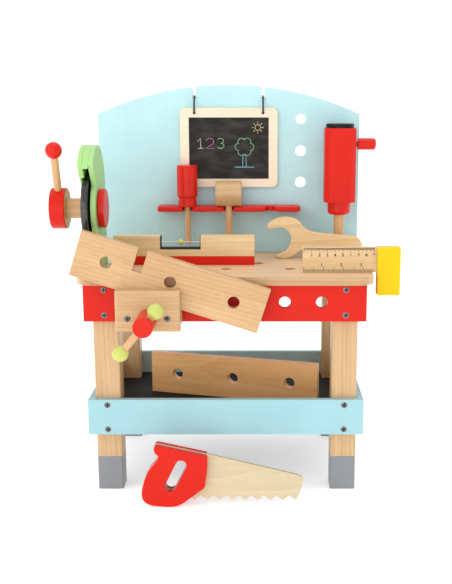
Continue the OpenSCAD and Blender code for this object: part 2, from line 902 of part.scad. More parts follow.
module saw_blade_outline() {
    polygon(concat(
        [[-60, 60], [-22, 68.7], [91.5, 41], [97.5, 38.3], [99.8, 34], [95.8, 18]],
        [for (i = [0:8], k = [0, 1])
            [89.8 - i * tooth_pitch - k * 8.4, k == 0 ? 6.7 : 12.9]],
        [[-60, 20]]
    ));
}

module saw_blade() {
    color("wheat") profile_y(saw_y - blade_t / 2, saw_y + blade_t / 2) difference() {
        union() {
            saw_blade_outline();
            saw_grip_outline();
        }
        saw_slot_outline();
    }
}

module saw_cheek(y) {
    color(red) profile_y(y, y + saw_cheek_t) difference() {
        saw_grip_outline();
        saw_slot_outline();
    }
}

module saw_cheek_front() saw_cheek(saw_y - blade_t / 2 - saw_cheek_t);
module saw_cheek_rear() saw_cheek(saw_y + blade_t / 2);

// ---------- planks ----------

plank_hole_pitch = 82.5;
plank_slot_x = -43.2;
plank_slot_w = 12.2;

// Face view of a plank: its middle at the origin, its long edge along X
module plank_face() {
    difference() {
        square([plank_l, plank_w], center = true);
        for (i = [-1, 0, 1]) translate([i * plank_hole_pitch, 0]) circle(peg_hole_d / 2);
    }
}

// The half-lap slot that lets two planks cross
module plank_slot() {
    translate([plank_slot_x - plank_slot_w / 2, 0]) square([plank_slot_w, plank_w]);
}

module vise_plank() {
    color("tan") translate([-67, plank_mid_y + plank_t / 2, 285]) rotate([0, plank_tilt, 0])
        rotate([90, 0, 0]) linear_extrude(plank_t) difference() {
            plank_face();
            plank_slot();
        }
}

tray_plank_turn = -16.7;

module tray_plank() {
    color("peru") translate([5.5, front_y + 105.5, tray_bed_z + gap + plank_w / 2])
        rotate([0, 0, tray_plank_turn]) translate([0, plank_t, 0]) rotate([90, 0, 0])
            linear_extrude(plank_t) plank_face();
}

leg_front_left();
leg_front_right();
leg_rear_left();
leg_rear_right();
front_apron();
rear_rail();
side_apron_left();
side_apron_right();
tabletop();
backboard();
tool_rack();
tray_front();
tray_rear();
tray_left();
tray_right();
tray_floor();
apron_screws();
tray_screws();
fixed_jaw();
moving_jaw();
guide_rods();
jaw_screws();
vise_knob();
vise_screw();
vise_handle();
handle_balls();
grinder_cheek_left();
grinder_cheek_right();
grinder_hood();
grinder_wheel();
grinder_axle();
crank_hub();
axle_spacer();
hub_cap();
crank_dowel();
crank_ball();
chalkboard_frame();
chalkboard_slate();
hanging_cord();
screwdriver_handle();
screwdriver_shaft();
hammer_head();
hammer_handle();
drill_body();
drill_cap();
drill_nose();
drill_bit();
drill_trigger();
wrench();
square_ruler();
square_stock();
level_body();
level_base();
level_wire();
level_bead();
saw_blade();
saw_cheek_front();
saw_cheek_rear();
vise_plank();
tray_plank();
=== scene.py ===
"""Looks of the toy workbench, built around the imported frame. Metres, X right, Y back, Z up."""

import json
import math

import bmesh
import bpy
from mathutils import Euler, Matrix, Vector

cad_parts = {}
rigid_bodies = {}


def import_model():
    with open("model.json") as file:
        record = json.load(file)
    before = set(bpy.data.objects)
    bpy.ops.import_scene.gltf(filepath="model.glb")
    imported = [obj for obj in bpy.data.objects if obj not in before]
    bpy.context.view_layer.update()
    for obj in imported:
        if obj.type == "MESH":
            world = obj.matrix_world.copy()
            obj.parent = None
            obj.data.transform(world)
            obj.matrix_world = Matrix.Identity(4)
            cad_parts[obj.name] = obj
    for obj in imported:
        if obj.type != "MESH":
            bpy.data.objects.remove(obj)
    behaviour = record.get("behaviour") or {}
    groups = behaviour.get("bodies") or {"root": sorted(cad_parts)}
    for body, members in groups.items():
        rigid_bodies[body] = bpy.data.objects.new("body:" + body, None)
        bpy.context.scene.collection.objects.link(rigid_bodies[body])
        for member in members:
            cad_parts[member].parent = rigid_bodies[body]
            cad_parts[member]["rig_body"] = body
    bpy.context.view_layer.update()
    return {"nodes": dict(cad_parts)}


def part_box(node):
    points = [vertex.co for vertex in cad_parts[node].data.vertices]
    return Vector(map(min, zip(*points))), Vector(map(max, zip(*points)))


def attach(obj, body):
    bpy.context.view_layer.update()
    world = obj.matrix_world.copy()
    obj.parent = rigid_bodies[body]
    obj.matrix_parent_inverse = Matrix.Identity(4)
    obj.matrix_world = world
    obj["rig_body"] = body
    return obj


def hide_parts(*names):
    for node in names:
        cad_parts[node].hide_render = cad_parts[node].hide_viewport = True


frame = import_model()
MM = 0.001

# ---------------------------------------------------------------- camera

camera_data = bpy.data.cameras.new("camera")
camera_data.lens = 61.85
camera_data.sensor_width = 36
camera_data.shift_x = -0.0618
camera_data.shift_y = 0.0396
camera_data.clip_end = 50
camera = bpy.data.objects.new("camera", camera_data)
camera.location = (0.0471, -1.3291, 0.5136)
camera.rotation_euler = (math.radians(77.539), 0, 0)
bpy.context.scene.collection.objects.link(camera)
bpy.context.scene.camera = camera

# ---------------------------------------------------------------- colours


def srgb(red, green, blue):
    """Linear RGBA of an 8-bit display colour."""

    def linear(level):
        c = level / 255
        return c / 12.92 if c <= 0.04045 else ((c + 0.055) / 1.055) ** 2.4

    return (linear(red), linear(green), linear(blue), 1)


def scaled(colour, factor):
    return tuple(min(1, c * factor) for c in colour[:3]) + (1,)


RED = srgb(204, 28, 10)
BLUE = srgb(154, 196, 203)
# The blue for the backboard and the tray's rear wall is a lighter copy of BLUE: painted light on those
# boards.
LIT_BLUE = srgb(180, 218, 223)
GREEN = srgb(160, 203, 128)
LIME = srgb(186, 194, 100)
YELLOW = srgb(222, 186, 2)
CHARCOAL = srgb(30, 34, 36)
FOOT_GREY = srgb(126, 130, 134)
BLACK = srgb(14, 14, 16)
SLATE = srgb(44, 43, 41)
BEECH = (srgb(206, 172, 128), srgb(184, 144, 98))
# The tabletop's beech is a paler copy of BEECH: painted sheen, the light on its lacquered top.
SHEEN_TOP_BEECH = (srgb(226, 194, 158), srgb(206, 168, 128))
DOWEL = (srgb(214, 172, 124), srgb(192, 146, 98))
BIRCH = (srgb(230, 203, 158), srgb(210, 177, 128))
# The chalkboard frame's birch is a paler copy of BIRCH: painted light, for the strong light on the frame.
LIT_FRAME_BIRCH = (srgb(240, 224, 202), srgb(230, 211, 184))
RULER_BIRCH = (srgb(220, 190, 144), srgb(202, 168, 120))
SAW_BIRCH = (srgb(208, 192, 160), srgb(194, 175, 140))
PLANK = (srgb(208, 172, 126), srgb(188, 146, 100))
# The tray plank's tones are lightened as painted light, against the shade that the tabletop casts into the
# tray.
LIT_TRAY_PLANK = (srgb(250, 198, 134), srgb(232, 172, 108))


# ---------------------------------------------------------------- materials


class Finish:
    """A material's node tree, with short calls for the nodes that the finishes share."""

    def __init__(self, name, roughness, coat=0.0, metallic=0.0, specular=0.5):
        self.material = bpy.data.materials.new(name)
        self.material.use_nodes = True
        self.tree = self.material.node_tree
        self.shader = self.tree.nodes["Principled BSDF"]
        self.shader.inputs["Metallic"].default_value = metallic
        self.shader.inputs["Specular IOR Level"].default_value = specular
        self.shader.inputs["Coat Weight"].default_value = coat
        self.shader.inputs["Coat Roughness"].default_value = 0.22
        self.roughness = roughness
        coords = self.node("ShaderNodeTexCoord")
        self.position = coords.outputs["Object"]
        self.normal = coords.outputs["Normal"]

    def node(self, kind, **settings):
        made = self.tree.nodes.new(kind)
        for key, value in settings.items():
            setattr(made, key, value)
        return made

    def put(self, socket, value):
        if isinstance(value, bpy.types.NodeSocket):
            self.tree.links.new(value, socket)
        else:
            socket.default_value = value

    def math(self, operation, a, b=0.0, clamp=False):
        made = self.node("ShaderNodeMath", operation=operation, use_clamp=clamp)
        self.put(made.inputs[0], a)
        self.put(made.inputs[1], b)
        return made.outputs[0]

    def vector(self, operation, a, b=(0, 0, 0)):
        made = self.node("ShaderNodeVectorMath", operation=operation)
        self.put(made.inputs[0], a)
        self.put(made.inputs[1], b)
        return made.outputs["Value" if operation in ("DOT_PRODUCT", "LENGTH") else "Vector"]

    def mapped(self, vector, kind="POINT", move=(0, 0, 0), turn=(0, 0, 0), scale=(1, 1, 1)):
        made = self.node("ShaderNodeMapping", vector_type=kind)
        self.put(made.inputs["Vector"], vector)
        made.inputs["Location"].default_value = move
        made.inputs["Rotation"].default_value = turn
        made.inputs["Scale"].default_value = scale
        return made.outputs["Vector"]

    def noise(self, vector, scale, detail=2.0, out="Fac"):
        made = self.node("ShaderNodeTexNoise")
        self.put(made.inputs["Vector"], vector)
        made.inputs["Scale"].default_value = scale
        made.inputs["Detail"].default_value = detail
        return made.outputs[out]

    def between(self, value, low, high, to_low=0.0, to_high=1.0):
        """Value's range low to high, carried to to_low to to_high."""
        made = self.node("ShaderNodeMapRange")
        for socket, number in zip(made.inputs, (value, low, high, to_low, to_high)):
            self.put(socket, number)
        return made.outputs[0]

    def mix(self, factor, a, b, blend="MIX"):
        made = self.node("ShaderNodeMix", data_type="RGBA", blend_type=blend)
        self.put(made.inputs[0], factor)
        self.put(made.inputs[6], a)
        self.put(made.inputs[7], b)
        return made.outputs[2]

    def shaded(self, colour, factor):
        """Colour times a factor that varies over the surface."""
        grey = self.node("ShaderNodeCombineXYZ")
        for socket in grey.inputs:
            self.put(socket, factor)
        return self.mix(1.0, colour, grey.outputs[0], "MULTIPLY")

    def rim(self):
        """1 on the rounded-over edges that soften() marks."""
        return self.node("ShaderNodeAttribute", attribute_name="rim").outputs["Fac"]

    def done(self, colour, roughness_shift=None, height=None, bump=0.1, depth=0.0002):
        self.put(self.shader.inputs["Base Color"], colour)
        rough = self.roughness
        if roughness_shift is not None:
            rough = self.math("ADD", roughness_shift, self.roughness, clamp=True)
        self.put(self.shader.inputs["Roughness"], rough)
        if height is not None:
            made = self.node("ShaderNodeBump")
            made.inputs["Strength"].default_value = bump
            made.inputs["Distance"].default_value = depth
            self.put(made.inputs["Height"], height)
            self.put(self.shader.inputs["Normal"], made.outputs["Normal"])
        return self.material


# Rotations that carry Z to the way a piece's grain runs
GRAIN = {
    "x": (0, math.radians(90), 0),
    "y": (math.radians(-90), 0, 0),
    "z": (0, 0, 0),
    "plank": (0, math.radians(90 + 17.75), 0),
    "tray plank": (0, math.radians(90), math.radians(-16.7)),
    "handle": (0, math.radians(40), 0),
    "crank": (math.radians(19), 0, 0),
}


def grain_field(finish, along, seed):
    """Grain coordinates, where Z runs along the fibres, with slow drifts in them."""
    local = finish.mapped(finish.position, "TEXTURE", turn=GRAIN[along])
    centre = (0.045 + 0.023 * (seed % 5), 0.05 + 0.017 * (seed % 7), 0.31 * seed)
    local = finish.mapped(local, move=centre, turn=(0.02 + 0.006 * (seed % 4), 0.014, 0))
    drift = finish.noise(finish.mapped(local, scale=(9, 9, 2.2)), 1.0, 1.0, "Color")
    drift = finish.vector("SUBTRACT", drift, (0.5, 0.5, 0.5))
    return finish.vector("ADD", local, finish.vector("MULTIPLY", drift, (0.02, 0.02, 0.02)))


def rings(finish, field, scale):
    made = finish.node("ShaderNodeTexWave", wave_type="RINGS", rings_direction="Z")
    made.wave_profile = "SAW"
    finish.put(made.inputs["Vector"], field)
    made.inputs["Scale"].default_value = scale
    made.inputs["Distortion"].default_value = 0.9
    made.inputs["Detail"].default_value = 1.0
    return made.outputs["Fac"]


def facing(finish, direction, low, high):
    """1 where the surface faces along a direction, either way, in the object's own frame."""
    along = finish.math("ABSOLUTE", finish.vector("DOT_PRODUCT", finish.normal, direction))
    return finish.between(along, low, high)


def grain_direction(along):
    return tuple(Euler(GRAIN[along]).to_matrix() @ Vector((0, 0, 1)))


def wood_colour(finish, tones, along, seed, ring_scale=62, flecks=0.3):
    """Colour and height of lacquered wood: rings, streaks, fibres, flecks and darker ends."""
    pale, dark = tones
    field = grain_field(finish, along, seed)
    ring = rings(finish, field, ring_scale)
    streak = finish.noise(finish.mapped(field, scale=(1, 1, 0.03)), 150, 3.0)
    fibre = finish.noise(finish.mapped(field, scale=(1, 1, 0.02)), 1300, 2.0)
    fleck = finish.noise(finish.mapped(field, scale=(1, 1, 0.13)), 950, 1.0)
    patch = finish.noise(finish.mapped(field, scale=(1, 1, 0.3)), 14, 2.0)
    tone = finish.math("ADD", finish.math("MULTIPLY", ring, 0.42),
                       finish.between(streak, 0.3, 0.7, 0.0, 0.58))
    colour = finish.mix(tone, pale, dark)
    colour = finish.shaded(colour, finish.between(fibre, 0.3, 0.7, 0.955, 1.04))
    colour = finish.shaded(colour, finish.between(patch, 0.3, 0.7, 0.95, 1.04))
    marks = finish.between(fleck, 0.64, 0.72, 0.0, flecks)
    colour = finish.mix(marks, colour, scaled(dark, 0.55))
    ends = facing(finish, grain_direction(along), 0.75, 0.98)
    colour = finish.mix(finish.math("MULTIPLY", ends, 0.45), colour, scaled(dark, 0.72))
    height = finish.math("SUBTRACT", finish.math("ADD", fibre, finish.math("MULTIPLY", streak, 0.6)), marks)
    return colour, height, fibre


def wood(name, tones, along, seed, ring_scale=62, flecks=0.3, ply=None, front=1.0):
    """Lacquered wood. ply gives (axis, where its layers start, one layer's thickness), and
    front how much darker the faces towards the front and back are, as painted shade."""
    finish = Finish(name, 0.44, coat=0.12, specular=0.4)
    colour, height, fibre = wood_colour(finish, tones, along, seed, ring_scale, flecks)
    if ply is not None:
        axis, start, layer = ply
        across = finish.vector("DOT_PRODUCT", finish.position, axis)
        turn = finish.math("DIVIDE", finish.math("SUBTRACT", across, start), layer)
        band = finish.math("SINE", finish.math("MULTIPLY", turn, math.pi))
        edges = finish.math("SUBTRACT", 1.0, facing(finish, axis, 0.3, 0.7))
        dark = finish.math("MULTIPLY", finish.between(band, -0.25, 0.25, 0.62, 0.0), edges)
        colour = finish.mix(dark, colour, scaled(tones[1], 0.62))
    # Painted shade: the faces towards the front and back are darkened, while the top keeps its colour.
    if front < 1:
        side = facing(finish, (0, 1, 0), 0.5, 0.9)
        edge = finish.mix(1.0, colour, (front, front * 0.9, front * 0.76, 1), "MULTIPLY")
        colour = finish.mix(side, colour, edge)
    # Painted highlight: the rounded-over edges are lightened.
    colour = finish.shaded(colour, finish.between(finish.rim(), 0, 1, 1.0, 1.07))
    return finish.done(colour, finish.between(fibre, 0.3, 0.7, -0.06, 0.07), height, 0.22, 0.0002)


def paint_on(finish, colour, along, seed):
    """Satin paint on wood: faint tone drift, the grain telegraphing through, and a painted highlight on the
    rounded edges.
    """
    field = grain_field(finish, along, seed)
    grain = finish.noise(finish.mapped(field, scale=(1, 1, 0.025)), 420, 3.0)
    cloud = finish.noise(finish.position, 16, 3.0)
    peel = finish.noise(finish.position, 1500, 1.0)
    highlight_breakup = finish.noise(finish.position, 240, 4.0)
    tinted = finish.shaded(colour, finish.between(cloud, 0.3, 0.7, 0.965, 1.035))
    tinted = finish.shaded(tinted, finish.between(grain, 0.3, 0.7, 0.985, 1.015))
    # Painted highlight: the rounded edges are lightened towards 1.75 times the colour, broken up by noise.
    edge_highlight = finish.math("MULTIPLY", finish.rim(), finish.between(highlight_breakup, 0.46, 0.62, 0.1, 0.34))
    tinted = finish.mix(edge_highlight, tinted, scaled(colour, 1.75))
    height = finish.math("ADD", finish.math("MULTIPLY", grain, 0.5), finish.math("MULTIPLY", peel, 0.35))
    return tinted, height, finish.between(cloud, 0.3, 0.7, -0.05, 0.06)


def paint(name, colour, along, seed, roughness=0.36, coat=0.04):
    finish = Finish(name, roughness, coat=coat, specular=0.16)
    tinted, height, gloss = paint_on(finish, colour, along, seed)
    return finish.done(tinted, gloss, height, 0.16, 0.00016)


def dipped_leg(name, seed):
    """Beech leg with a grey painted foot."""
    finish = Finish(name, 0.44, coat=0.12)
    colour, height, fibre = wood_colour(finish, BEECH, "z", seed)
    foot, _, _ = paint_on(finish, FOOT_GREY, "z", seed)
    edge = finish.math("MULTIPLY", finish.noise(finish.position, 220, 2.0), 0.0012)
    level = finish.math("ADD", finish.vector("DOT_PRODUCT", finish.position, (0, 0, 1)), edge)
    dip = finish.between(level, 0.0462, 0.0467, 1.0, 0.0)
    tinted = finish.mix(dip, colour, foot)
    # Painted highlight: the rounded-over edges are lightened.
    tinted = finish.shaded(tinted, finish.between(finish.rim(), 0, 1, 1.0, 1.07))
    return finish.done(tinted, finish.between(fibre, 0.3, 0.7, -0.06, 0.07), height, 0.2, 0.0002)


def bare_faced_hub(name, colour, direction, cut, seed):
    """Painted turned wood whose one end face is left bare."""
    finish = Finish(name, 0.36, coat=0.04, specular=0.16)
    tinted, height, gloss = paint_on(finish, colour, "x", seed)
    bare, _, _ = wood_colour(finish, (srgb(244, 190, 150), srgb(226, 168, 128)), "x", seed)
    outward = finish.vector("DOT_PRODUCT", finish.normal, direction)
    tinted = finish.mix(finish.between(outward, cut, cut + 0.06), tinted, bare)
    return finish.done(tinted, gloss, height, 0.16, 0.00016)


def gloss_black(name):
    """Black lacquer with a faint mottle and fine noise in its roughness and bump."""
    finish = Finish(name, 0.16, coat=0.6)
    mottle = finish.noise(finish.position, 60, 3.0)
    fine = finish.noise(finish.position, 900, 2.0)
    colour = finish.mix(mottle, scaled(BLACK, 0.7), scaled(BLACK, 1.8))
    return finish.done(colour, finish.between(fine, 0.3, 0.7, -0.05, 0.07), fine, 0.06, 0.0001)


def slate_board(name):
    """Matt blackboard paint with wiped chalk dust."""
    finish = Finish(name, 0.82, specular=0.12)
    dust = finish.noise(finish.mapped(finish.position, turn=(0, 0.5, 0), scale=(1, 1, 2.6)), 34, 5.0)
    grit = finish.noise(finish.position, 1800, 2.0)
    colour = finish.mix(finish.between(dust, 0.44, 0.75, 0.0, 0.07), SLATE, srgb(190, 188, 184))
    colour = finish.shaded(colour, finish.between(grit, 0.3, 0.7, 0.88, 1.12))
    return finish.done(colour, finish.between(dust, 0.3, 0.7, -0.06, 0.08), grit, 0.3, 0.0001)


def chalk(name, colour):
    """A chalk stroke, broken up by the board's tooth."""
    finish = Finish(name, 0.95)
    tooth = finish.noise(finish.position, 1500, 3.0)
    tinted = finish.mix(finish.between(tooth, 0.4, 0.6, 0.45, 0.0), colour, SLATE)
    return finish.done(tinted, None, tooth, 0.5, 0.0002)


def brushed_steel(name, level=0.62):
    finish = Finish(name, 0.3, metallic=1.0)
    grain = finish.noise(finish.mapped(finish.position, scale=(1, 1, 0.2)), 1600, 3.0)
    colour = finish.mix(grain, (level * 0.8,) * 3 + (1,), (level * 1.15,) * 3 + (1,))
    # Painted shade: faces marked rim, on the screws their cross recesses, are darkened to 0.12 of the
    # colour.
    colour = finish.shaded(colour, finish.between(finish.rim(), 0, 1, 1.0, 0.12))
    return finish.done(colour, finish.between(grain, 0.3, 0.7, -0.1, 0.12), grain, 0.12, 0.0001)


def braid(name):
    """Black braided cord: one set of slanted, stretched strands."""
    finish = Finish(name, 0.72)
    finish.shader.inputs["Sheen Weight"].default_value = 0.25
    strands = finish.node("ShaderNodeTexVoronoi", feature="SMOOTH_F1")
    slanted = finish.mapped(finish.position, turn=(0.7, 0.6, 0.2), scale=(1, 1, 0.55))
    finish.put(strands.inputs["Vector"], slanted)
    strands.inputs["Scale"].default_value = 1500
    fuzz = finish.noise(finish.position, 5000, 2.0)
    depth = strands.outputs["Distance"]
    # Painted light and shade: each strand is lighter in its middle and darker towards the gaps between
    # strands.
    colour = finish.mix(depth, srgb(46, 46, 48), srgb(16, 16, 17))
    return finish.done(colour, finish.between(fuzz, 0.3, 0.7, -0.08, 0.08), depth, 0.6, 0.0003)


def ink(name, colour):
    """Print on wood, a little uneven."""
    finish = Finish(name, 0.6)
    blot = finish.noise(finish.position, 900, 3.0)
    tinted = finish.mix(finish.between(blot, 0.35, 0.65, 0.0, 0.4), colour, scaled(colour, 2.2))
    return finish.done(tinted, finish.between(blot, 0.3, 0.7, -0.08, 0.08), blot, 0.1, 0.0001)


# ---------------------------------------------------------------- pieces


def body_of(node):
    return frame["nodes"][node]["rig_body"]


def settle(obj, body, material, nodes=()):
    """Gives a finished piece its material, body and the nodes that it stands for."""
    obj.data.materials.clear()
    obj.data.materials.append(material)
    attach(obj, body)
    if nodes:
        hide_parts(*nodes)
    return obj


def baked(obj):
    """The object with its modifiers applied to its mesh."""
    graph = bpy.context.evaluated_depsgraph_get()
    mesh = bpy.data.meshes.new_from_object(obj.evaluated_get(graph))
    obj.modifiers.clear()
    if obj.type == "MESH":
        obj.data = mesh
        return obj
    made = bpy.data.objects.new(obj.name + "_mesh", mesh)
    made.matrix_world = obj.matrix_world
    bpy.context.scene.collection.objects.link(made)
    bpy.data.objects.remove(obj)
    return made


SHARP_EDGE = math.radians(35)
BEVEL_SEGMENTS = 3


def soften(node, width, material):
    """A node's shape with its hard edges rounded over. The new faces carry rim = 1."""
    mesh = frame["nodes"][node].data.copy()
    shape = bmesh.new()
    shape.from_mesh(mesh)
    bmesh.ops.remove_doubles(shape, verts=shape.verts, dist=2e-6)
    bmesh.ops.dissolve_limit(shape, angle_limit=math.radians(0.6), verts=shape.verts, edges=shape.edges)
    rim = shape.faces.layers.float.new("rim")
    hard = [e for e in shape.edges
            if len(e.link_faces) == 2 and e.calc_face_angle() > SHARP_EDGE]
    made = bmesh.ops.bevel(shape, geom=hard, offset=width, segments=BEVEL_SEGMENTS, profile=0.5,
                           affect="EDGES", clamp_overlap=True, loop_slide=True)
    for face in made["faces"]:
        face[rim] = 1.0
    for face in shape.faces:
        face.smooth = True
    shape.to_mesh(mesh)
    shape.free()
    obj = bpy.data.objects.new(node + ".soft", mesh)
    bpy.context.scene.collection.objects.link(obj)
    weighted = obj.modifiers.new("normals", "WEIGHTED_NORMAL")
    weighted.weight = 100
    weighted.keep_sharp = True
    baked(obj)
    return settle(obj, body_of(node), material, [node])


def keep(node, material):
    """A CAD node whose shape is right, with a better material."""
    obj = frame["nodes"][node]
    for place in obj.material_slots:
        place.material = material
    return obj


def new_object(name, shape):
    mesh = bpy.data.meshes.new(name)
    shape.to_mesh(mesh)
    shape.free()
    obj = bpy.data.objects.new(name, mesh)
    bpy.context.scene.collection.objects.link(obj)
    return obj


def prism(shape, outline, y0, y1):
    """Adds a solid whose outline lies in X and Z, from y0 to y1."""
    front = [shape.verts.new((x, y0, z)) for x, z in outline]
    back = [shape.verts.new((x, y1, z)) for x, z in outline]
    count = len(outline)
    shape.faces.new(front)
    shape.faces.new(back[::-1])
    for i in range(count):
        j = (i + 1) % count
        shape.faces.new((front[j], front[i], back[i], back[j]))


def finish_shape(shape):
    bmesh.ops.recalc_face_normals(shape, faces=shape.faces)
    return shape


# ---- boards, legs and blocks: node, edge radius in mm, slot, material

BIRCH_SLOT, BEECH_SLOT, RED_SLOT, BLUE_SLOT = "birch_ply", "beech", "red_paint", "blue_paint"

for number, leg in enumerate(("leg_front_left", "leg_front_right", "leg_rear_left", "leg_rear_right")):
    soften(leg, 0.7 * MM, dipped_leg(leg + "_wood", 3 + number))

for number, (node, width, along) in enumerate((
        ("front_apron", 1.1, "x"), ("rear_rail", 1.1, "x"), ("side_apron_left", 1.1, "y"),
        ("side_apron_right", 1.1, "y"), ("tool_rack", 1.6, "x"), ("level_base", 1.2, "x"),
        ("saw_cheek_front", 1.0, "x"), ("saw_cheek_rear", 1.0, "x"), ("drill_body", 1.0, "z"))):
    soften(node, width * MM, paint(node + "_red", RED, along, 11 + number))

for number, (node, width, colour, along) in enumerate((
        ("backboard", 1.3, LIT_BLUE, "z"), ("tray_front", 1.1, BLUE, "x"),
        ("tray_rear", 1.1, LIT_BLUE, "x"), ("tray_left", 1.1, BLUE, "y"), ("tray_right", 1.1, BLUE, "y"))):
    soften(node, width * MM, paint(node + "_blue", colour, along, 23 + number))

soften("tray_floor", 0.4 * MM, paint("tray_floor_grey", CHARCOAL, "x", 31, 0.6, 0.0))

for number, node in enumerate(("grinder_cheek_left", "grinder_cheek_right", "grinder_hood")):
    soften(node, 1.2 * MM, paint(node + "_green", GREEN, "z", 35 + number))

soften("square_stock", 1.2 * MM, paint("stock_yellow", YELLOW, "z", 41))

for number, (node, width, tones, along, slot) in enumerate((
        ("tabletop", 1.8, SHEEN_TOP_BEECH, "x", BEECH_SLOT), ("fixed_jaw", 1.0, BEECH, "x", BEECH_SLOT),
        ("moving_jaw", 0.8, BEECH, "x", BEECH_SLOT), ("vise_plank", 1.5, PLANK, "plank", "plank_wood"),
        ("tray_plank", 1.5, LIT_TRAY_PLANK, "tray plank", "dark_plank_wood"))):
    # The tabletop's front and back faces get painted shade.
    front = 0.72 if node == "tabletop" else 1.0
    soften(node, width * MM, wood(node + "_wood", tones, along, 45 + number, front=front))


def ply(node, layer, axis):
    """Where a plywood piece's layers start, and how thick one is, so that its faces lie in mid-layer."""
    low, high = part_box(node)
    start, end = low[axis], high[axis]
    direction = tuple(float(i == axis) for i in range(3))
    count = max(3, round((end - start) / layer) // 2 * 2 + 1)
    return direction, start, (end - start) / count


for number, (node, width, tones, layer) in enumerate((
        ("chalkboard_frame", 1.6, LIT_FRAME_BIRCH, 1.3), ("wrench", 1.6, BIRCH, 1.5),
        ("square_ruler", 0.7, RULER_BIRCH, 1.3), ("saw_blade", 0.9, SAW_BIRCH, 1.2))):
    material = wood(node + "_wood", tones, "x", 53 + number, ring_scale=34, flecks=0.12,
                    ply=ply(node, layer * MM, 1))
    soften(node, width * MM, material)
soften("level_body", 1.2 * MM, wood("level_wood", BIRCH, "x", 58, ring_scale=46, flecks=0.12))

for number, (node, width, along) in enumerate((
        ("guide_rods", 0.5, "y"), ("vise_screw", 0.6, "y"), ("vise_handle", 0.6, "handle"),
        ("grinder_axle", 0.6, "x"), ("axle_spacer", 0.8, "x"), ("crank_dowel", 0.6, "crank"),
        ("screwdriver_shaft", 0.5, "z"), ("hammer_handle", 0.8, "z"), ("drill_bit", 0.8, "z"))):
    soften(node, width * MM, wood(node + "_wood", DOWEL, along, 61 + number, ring_scale=90))

keep("hammer_head", wood("hammer_head_wood", BEECH, "x", 71))
for number, (node, along) in enumerate((
        ("vise_knob", "y"), ("crank_ball", "crank"), ("screwdriver_handle", "z"),
        ("drill_nose", "z"), ("drill_trigger", "x"))):
    keep(node, paint(node + "_red", RED, along, 73 + number, 0.32, 0.14))
keep("crank_hub", bare_faced_hub("crank_hub_red", RED, (1, 0, 0), 0.9, 81))
soften("hub_cap", 1.4 * MM, paint("hub_cap_red", RED, "x", 82, 0.32, 0.14))
keep("handle_balls", paint("handle_balls_lime", LIME, "handle", 83, 0.3, 0.2))
keep("level_bead", paint("level_bead_lime", LIME, "x", 84, 0.28, 0.4))
keep("grinder_wheel", gloss_black("grinder_wheel_black"))
keep("drill_cap", paint("drill_cap_black", BLACK, "z", 85, 0.42, 0.1))
keep("chalkboard_slate", slate_board("slate_board"))
keep("level_wire", brushed_steel("level_wire_steel"))

# ---- screws with a domed head and a cross recess

HEAD_R, HEAD_T, SHANK_R = 4.0 * MM, 1.6 * MM, 1.8 * MM
TIP_R, TIP_LENGTH = 0.3 * MM, 3 * MM
RECESS_R, RECESS_HALF = 2.8 * MM, 0.65 * MM


def in_recess(x, z):
    return math.hypot(x, z) < RECESS_R and min(abs(x), abs(z)) < RECESS_HALF


def screw(shape, place, outward, length):
    """Adds one screw. place is the middle of the outer face of its head, outward is -1 or 1 along Y."""
    steps, around = 14, 64
    loops = []
    for i in range(steps + 1):
        radius = HEAD_R * (i + 0.35) / (steps + 0.35)
        loop = []
        for k in range(around):
            angle = 2 * math.pi * k / around
            x, z = radius * math.cos(angle), radius * math.sin(angle)
            rise = -0.75 * MM * (radius / HEAD_R) ** 2.4
            if in_recess(x, z):
                rise -= 0.9 * MM * (1 - 0.45 * radius / RECESS_R)
            loop.append(shape.verts.new(place + Vector((x, outward * rise, z))))
        loops.append(loop)
    for radius, rise in ((HEAD_R, -HEAD_T), (SHANK_R, -HEAD_T),
                         (SHANK_R, TIP_LENGTH - length), (TIP_R, -length)):
        loops.append([shape.verts.new(place + Vector((radius * math.cos(2 * math.pi * k / around),
                                                      outward * rise,
                                                      radius * math.sin(2 * math.pi * k / around))))
                      for k in range(around)])
    rim = shape.faces.layers.float.get("rim") or shape.faces.layers.float.new("rim")
    shape.faces.new(loops[0])
    shape.faces.new(loops[-1])
    for inner, outer in zip(loops, loops[1:]):
        for k in range(around):
            m = (k + 1) % around
            face = shape.faces.new((inner[k], inner[m], outer[m], outer[k]))
            corners = [corner.co - place for corner in (inner[k], inner[m], outer[m], outer[k])]
            # Faces in the cross recess are marked rim, which the steel darkens as painted shade.
            face[rim] = sum(in_recess(corner.x, corner.z) for corner in corners) / 4


def screws(name, places, node, length):
    shape = bmesh.new()
    for place, outward in places:
        screw(shape, Vector(place), outward, length)
    obj = new_object(name, finish_shape(shape))
    for face in obj.data.polygons:
        face.use_smooth = True
    obj.data.set_sharp_from_angle(angle=math.radians(32))
    settle(obj, body_of(node), brushed_steel(name + "_steel", 0.2), [node])


LEG_SCREW_X = 0.170 - 0.0165
APRON_SCREWS_Z, TRAY_SCREWS_Z, JAW_SCREWS_Z = (0.238, 0.271), (0.086, 0.119), 0.243
JAW_X, JAW_SCREW_REACH = -0.094, 0.0245
BOARD_SCREW_LENGTH, JAW_SCREW_LENGTH = 0.024, 0.020

apron_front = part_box("apron_screws")[0].y
tray_ends = ((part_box("tray_screws")[0].y, -1), (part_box("tray_screws")[1].y, 1))
jaw_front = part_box("jaw_screws")[0].y
screws("apron_screws.fine",
       [((s * LEG_SCREW_X, apron_front, z), -1) for s in (-1, 1) for z in APRON_SCREWS_Z],
       "apron_screws", BOARD_SCREW_LENGTH)
screws("tray_screws.fine",
       [((s * LEG_SCREW_X, y, z), way) for s in (-1, 1) for z in TRAY_SCREWS_Z for y, way in tray_ends],
       "tray_screws", BOARD_SCREW_LENGTH)
screws("jaw_screws.fine",
       [((JAW_X + s * JAW_SCREW_REACH, jaw_front, JAW_SCREWS_Z), -1) for s in (-1, 1)],
       "jaw_screws", JAW_SCREW_LENGTH)

# ---- the chalkboard's cord, along the route of its CAD solid

